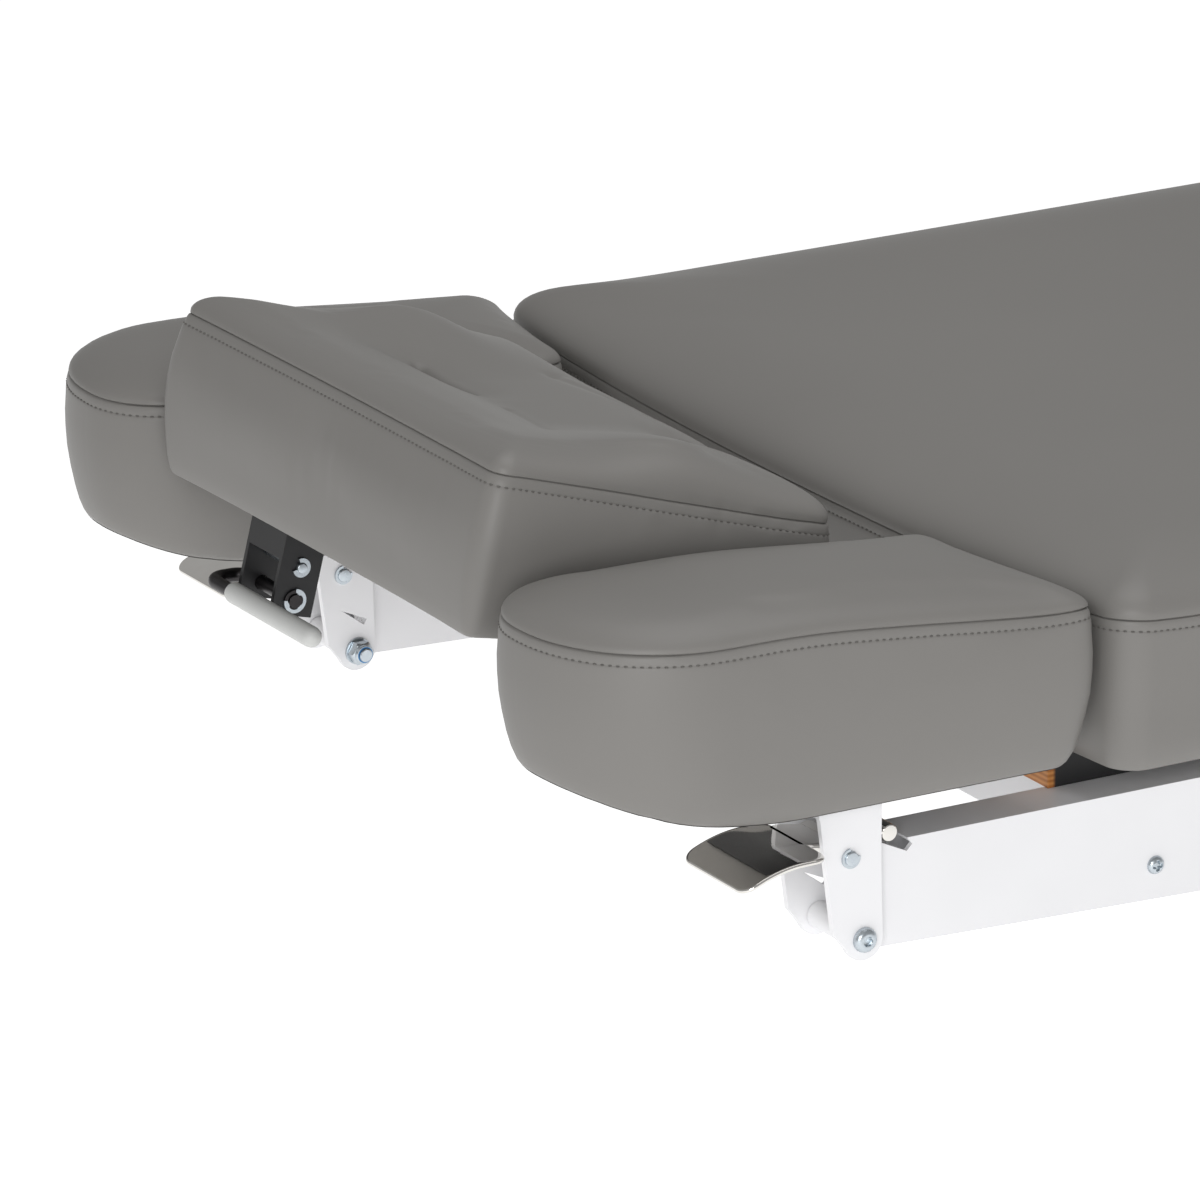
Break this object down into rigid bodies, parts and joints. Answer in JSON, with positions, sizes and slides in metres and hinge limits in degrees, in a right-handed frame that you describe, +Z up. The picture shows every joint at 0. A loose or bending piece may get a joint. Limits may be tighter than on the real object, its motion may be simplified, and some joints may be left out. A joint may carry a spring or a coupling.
{
  "type": "spa treatment bed",
  "caption": "Powered treatment bed: long padded backrest and seat on lifting columns, tilting hollowed headrest with release handle, and drop-down padded arm rests with sprung latches.",
  "frame": {"origin": "centre of the footprint on the floor", "axes": "+X from head to foot, +Y to the left of a person lying on their back, +Z up"},
  "size_m": [1.942, 0.67, 0.7265],
  "materials": {
    "upholstery": "matte",
    "board": "matte",
    "powder_coat": "satin",
    "black_steel": "satin",
    "dark_steel": "satin",
    "chrome": "polished",
    "zinc": "satin",
    "grip": "matte",
    "rubber": "matte",
    "plastic": "matte"
  },
  "bodies": {
    "base": {"base_rails": "powder_coat", "base_crossbars": "powder_coat", "base_feet": "rubber", "base_rail_caps": "plastic", "column_shell_head": "powder_coat", "column_shell_foot": "powder_coat", "control_box": "plastic"},
    "column_middle": {"column_middle_head": "powder_coat", "column_middle_foot": "powder_coat"},
    "upper_frame": {"column_inner_head": "powder_coat", "column_inner_foot": "powder_coat", "frame_rail_right": "powder_coat", "frame_rail_left": "powder_coat", "frame_crossbars": "powder_coat", "actuator_base_lugs": "powder_coat", "seat_board": "board", "seat_pad": "upholstery", "frame_rail_caps": "plastic", "backrest_hinge_posts": "powder_coat", "backrest_hinge_pins": "zinc"},
    "backrest": {"backrest_beam_right": "powder_coat", "backrest_beam_left": "powder_coat", "backrest_crossbar_head": "powder_coat", "backrest_crossbar_middle": "powder_coat", "backrest_crossbar_foot": "powder_coat", "backrest_board": "board", "backrest_pad": "upholstery", "beam_screws": "zinc", "arm_pivot_sleeves": "powder_coat", "backrest_hinge_arms": "powder_coat", "headrest_hinge_lugs": "black_steel", "actuator_rod_lugs": "powder_coat", "spring_base_lugs": "powder_coat"},
    "actuator_housing": {"actuator_housing": "plastic"},
    "actuator_rod": {"actuator_rod": "zinc"},
    "headrest": {"headrest_pad": "upholstery", "headrest_board": "board", "headrest_bracket": "black_steel", "headrest_bracket_pin": "zinc", "headrest_hinge_ears": "black_steel", "headrest_hinge_pins": "zinc", "spring_rod_lugs": "black_steel"},
    "handle": {"release_handle": "dark_steel", "handle_grip": "grip"},
    "spring_barrel": {"spring_barrel": "dark_steel"},
    "spring_rod": {"spring_rod": "zinc"},
    "arm_right": {"arm_pad_right": "upholstery", "arm_board_right": "board", "arm_bracket_right": "powder_coat", "arm_pivot_bolt_right": "zinc", "arm_pivot_nut_right": "zinc", "arm_latch_pin_right": "zinc"},
    "latch_right": {"arm_latch_lever_right": "chrome"},
    "arm_left": {"arm_pad_left": "upholstery", "arm_board_left": "board", "arm_bracket_left": "powder_coat", "arm_pivot_bolt_left": "zinc", "arm_pivot_nut_left": "zinc", "arm_latch_pin_left": "zinc"},
    "latch_left": {"arm_latch_lever_left": "chrome"}
  },
  "joints": [
    {"name": "lift", "type": "slide", "parent": "base", "child": "upper_frame", "axis": [0, 0, 1], "range_m": [0, 0.3]},
    {"name": "lift_middle", "type": "slide", "parent": "base", "child": "column_middle", "axis": [0, 0, 1], "range_m": [0, 0.15]},
    {"name": "backrest_tilt", "type": "hinge", "parent": "upper_frame", "child": "backrest", "pos_m": [0.066, 0, 0.6065], "axis": [0, 1, 0], "range_deg": [0, 55]},
    {"name": "actuator_base_pivot", "type": "hinge", "parent": "upper_frame", "child": "actuator_housing", "pos_m": [0.11449, 0.115, 0.26428], "axis": [0, 1, 0], "range_deg": [0, 27.5]},
    {"name": "actuator_rod_pivot", "type": "hinge", "parent": "backrest", "child": "actuator_rod", "pos_m": [-0.225, 0.115, 0.42], "axis": [0, 1, 0], "range_deg": [-27.5, 0]},
    {"name": "headrest_tilt", "type": "hinge", "parent": "backrest", "child": "headrest", "pos_m": [-0.69119, 0, 0.55624], "axis": [0, 1, 0], "range_deg": [-30, 15]},
    {"name": "spring_base_pivot", "type": "hinge", "parent": "backrest", "child": "spring_barrel", "pos_m": [-0.60621, 0, 0.44017], "axis": [0, 1, 0], "range_deg": [-15, 7.5]},
    {"name": "spring_rod_pivot", "type": "hinge", "parent": "headrest", "child": "spring_rod", "pos_m": [-0.83456, 0, 0.56803], "axis": [0, 1, 0], "range_deg": [-7.5, 15]},
    {"name": "handle_lift", "type": "hinge", "parent": "headrest", "child": "handle", "pos_m": [-0.92357, 0.072, 0.57049], "axis": [0, 1, 0], "range_deg": [0, 15], "stiffness_Nm_per_rad": 0.3, "springref_deg": -22.92},
    {"name": "arm_drop_right", "type": "hinge", "parent": "backrest", "child": "arm_right", "pos_m": [-0.785, -0.275, 0.465], "axis": [0, -1, 0], "range_deg": [0, 90]},
    {"name": "latch_lift_right", "type": "hinge", "parent": "arm_right", "child": "latch_right", "pos_m": [-0.794, -0.275, 0.5125], "axis": [0, -1, 0], "range_deg": [0, 12], "stiffness_Nm_per_rad": 0.5, "springref_deg": -28.65},
    {"name": "arm_drop_left", "type": "hinge", "parent": "backrest", "child": "arm_left", "pos_m": [-0.785, 0.275, 0.465], "axis": [0, -1, 0], "range_deg": [0, 90]},
    {"name": "latch_lift_left", "type": "hinge", "parent": "arm_left", "child": "latch_left", "pos_m": [-0.794, 0.275, 0.5125], "axis": [0, -1, 0], "range_deg": [0, 12], "stiffness_Nm_per_rad": 0.5, "springref_deg": -28.65}
  ],
  "couplings": [
    {"joint": "lift_middle", "follows": "lift", "ratio": 0.5},
    {"joint": "actuator_base_pivot", "follows": "backrest_tilt", "ratio": 0.5},
    {"joint": "actuator_rod_pivot", "follows": "backrest_tilt", "ratio": -0.5},
    {"joint": "spring_base_pivot", "follows": "headrest_tilt", "ratio": 0.5},
    {"joint": "spring_rod_pivot", "follows": "headrest_tilt", "ratio": -0.5}
  ]
}
